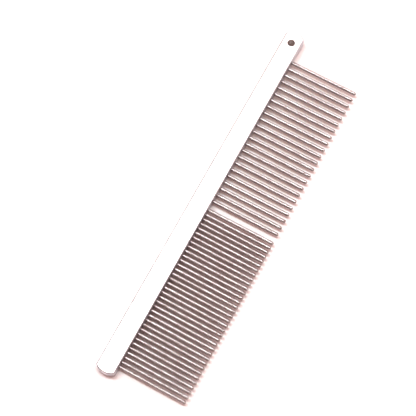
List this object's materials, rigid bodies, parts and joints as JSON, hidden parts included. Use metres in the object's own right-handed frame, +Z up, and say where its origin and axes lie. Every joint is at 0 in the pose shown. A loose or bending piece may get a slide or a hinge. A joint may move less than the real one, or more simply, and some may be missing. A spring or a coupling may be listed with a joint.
{
  "type": "steel grooming comb",
  "caption": "Rigid steel pet grooming comb: a flat bar with rounded ends and a hanging hole, set with coarse round teeth on one half and fine ones on the other.",
  "frame": {"origin": "middle of the comb's outline seen from above, on the surface that it lies on", "axes": "+X along the bar towards its hanging hole, teeth point towards -Y, +Z up from the flat face that it lies on"},
  "size_m": [0.1906, 0.0446, 0.0063],
  "materials": {
    "spine_steel": "satin plated steel with faint lengthwise grain, bright and slightly warm, duller on its long walls",
    "tooth_steel": "bright drawn steel pins, smooth, with faint fine rings from grinding"
  },
  "bodies": {
    "root": {"spine": "spine_steel", "coarse_tooth_01": "tooth_steel", "coarse_tooth_02": "tooth_steel", "coarse_tooth_03": "tooth_steel", "coarse_tooth_04": "tooth_steel", "coarse_tooth_05": "tooth_steel", "coarse_tooth_06": "tooth_steel", "coarse_tooth_07": "tooth_steel", "coarse_tooth_08": "tooth_steel", "coarse_tooth_09": "tooth_steel", "coarse_tooth_10": "tooth_steel", "coarse_tooth_11": "tooth_steel", "coarse_tooth_12": "tooth_steel", "coarse_tooth_13": "tooth_steel", "coarse_tooth_14": "tooth_steel", "coarse_tooth_15": "tooth_steel", "coarse_tooth_16": "tooth_steel", "coarse_tooth_17": "tooth_steel", "coarse_tooth_18": "tooth_steel", "coarse_tooth_19": "tooth_steel", "coarse_tooth_20": "tooth_steel", "coarse_tooth_21": "tooth_steel", "coarse_tooth_22": "tooth_steel", "coarse_tooth_23": "tooth_steel", "fine_tooth_01": "tooth_steel", "fine_tooth_02": "tooth_steel", "fine_tooth_03": "tooth_steel", "fine_tooth_04": "tooth_steel", "fine_tooth_05": "tooth_steel", "fine_tooth_06": "tooth_steel", "fine_tooth_07": "tooth_steel", "fine_tooth_08": "tooth_steel", "fine_tooth_09": "tooth_steel", "fine_tooth_10": "tooth_steel", "fine_tooth_11": "tooth_steel", "fine_tooth_12": "tooth_steel", "fine_tooth_13": "tooth_steel", "fine_tooth_14": "tooth_steel", "fine_tooth_15": "tooth_steel", "fine_tooth_16": "tooth_steel", "fine_tooth_17": "tooth_steel", "fine_tooth_18": "tooth_steel", "fine_tooth_19": "tooth_steel", "fine_tooth_20": "tooth_steel", "fine_tooth_21": "tooth_steel", "fine_tooth_22": "tooth_steel", "fine_tooth_23": "tooth_steel", "fine_tooth_24": "tooth_steel", "fine_tooth_25": "tooth_steel", "fine_tooth_26": "tooth_steel", "fine_tooth_27": "tooth_steel", "fine_tooth_28": "tooth_steel", "fine_tooth_29": "tooth_steel", "fine_tooth_30": "tooth_steel", "fine_tooth_31": "tooth_steel", "fine_tooth_32": "tooth_steel", "fine_tooth_33": "tooth_steel", "fine_tooth_34": "tooth_steel", "fine_tooth_35": "tooth_steel"}
  },
  "joints": []
}
